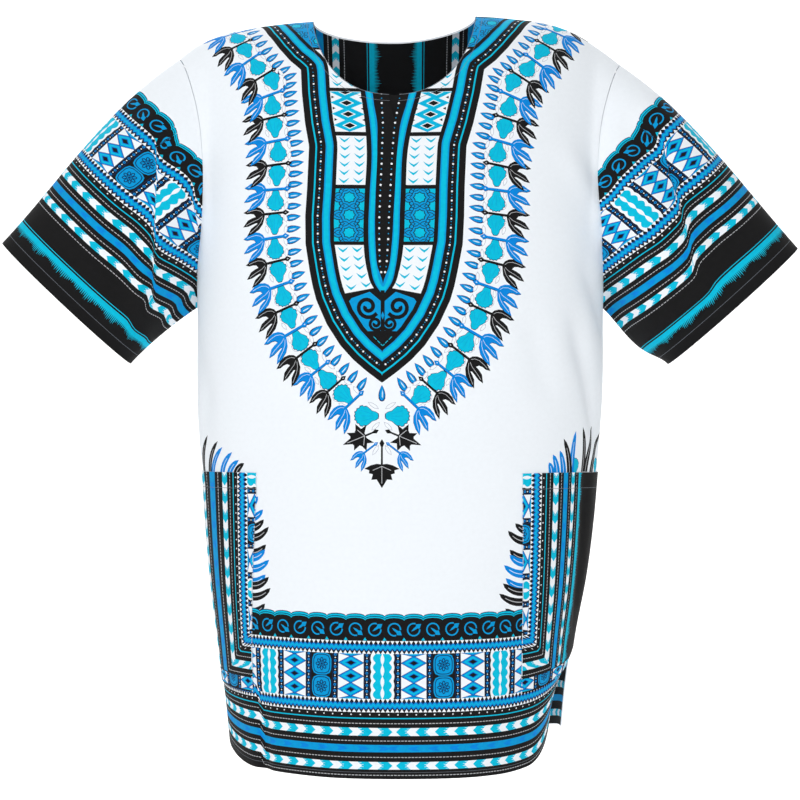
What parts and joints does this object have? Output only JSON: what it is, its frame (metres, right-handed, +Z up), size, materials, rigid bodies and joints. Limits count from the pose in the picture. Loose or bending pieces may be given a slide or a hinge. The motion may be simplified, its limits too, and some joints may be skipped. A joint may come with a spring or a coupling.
{
  "type": "dashiki shirt",
  "caption": "Hollow dashiki shirt as worn: straight body with side vents, wide short sleeves, curved neck with a slit, and patch pockets.",
  "frame": {"origin": "midway between the two neck points of the shoulder seams, where a wearer's shoulders carry the shirt", "axes": "+Z up, -Y towards the front of the shirt, +X towards the wearer's left sleeve"},
  "size_m": [0.8418, 0.3234, 0.7736],
  "materials": {
    "front": "printed plain-weave cotton",
    "back": "printed plain-weave cotton",
    "sleeve_right": "printed plain-weave cotton",
    "sleeve_left": "printed plain-weave cotton",
    "pocket_right": "printed plain-weave cotton",
    "pocket_left": "printed plain-weave cotton",
    "neck_facing_front": "printed plain-weave cotton",
    "neck_facing_back": "printed plain-weave cotton"
  },
  "bodies": {
    "root": {"front": "front", "back": "back", "sleeve_right": "sleeve_right", "sleeve_left": "sleeve_left", "pocket_right": "pocket_right", "pocket_left": "pocket_left", "neck_facing_front": "neck_facing_front", "neck_facing_back": "neck_facing_back"}
  },
  "joints": []
}
